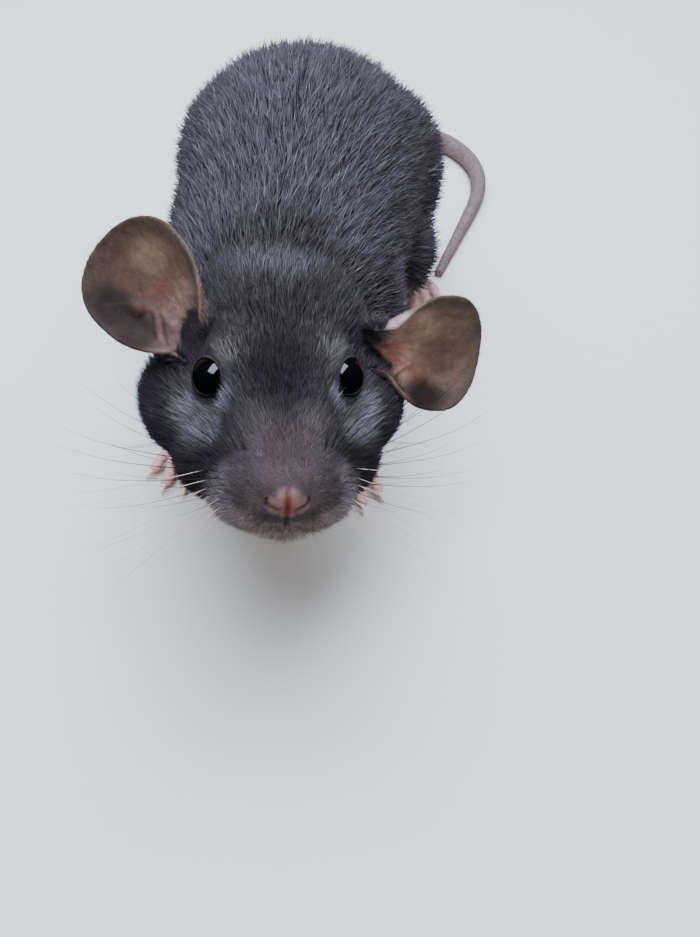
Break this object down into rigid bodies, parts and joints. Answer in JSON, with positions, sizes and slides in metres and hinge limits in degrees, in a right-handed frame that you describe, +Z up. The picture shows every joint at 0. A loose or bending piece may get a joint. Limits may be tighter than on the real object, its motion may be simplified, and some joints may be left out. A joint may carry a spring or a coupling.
{
  "type": "pet rat",
  "caption": "Young pet rat standing on all four feet, head raised and turned to its left, round cupped ears, tail curled on the floor beside it.",
  "frame": {"origin": "centre of the bounding box's base, on the floor", "axes": "+Z up, the snout points to -Y, the rat's left side is +X"},
  "size_m": [0.0742, 0.1686, 0.0555],
  "materials": {
    "coat": "short dark slate-grey fur",
    "skin": "soft pink skin with pale claws",
    "ear_skin": "thin soft olive-brown skin",
    "tail_skin": "fine rings of scales",
    "eye": "glossy black"
  },
  "bodies": {
    "root": {"head": "coat", "ear_left": "ear_skin", "ear_right": "ear_skin", "eye_left": "eye", "eye_right": "eye", "neck": "coat", "torso": "coat", "foreleg_left": "coat", "foreleg_right": "coat", "forefoot_left": "skin", "forefoot_right": "skin", "hindleg_left": "coat", "hindleg_right": "coat", "hindfoot_left": "skin", "hindfoot_right": "skin", "tail_1": "tail_skin", "tail_2": "tail_skin", "tail_3": "tail_skin", "tail_4": "tail_skin"}
  },
  "joints": []
}
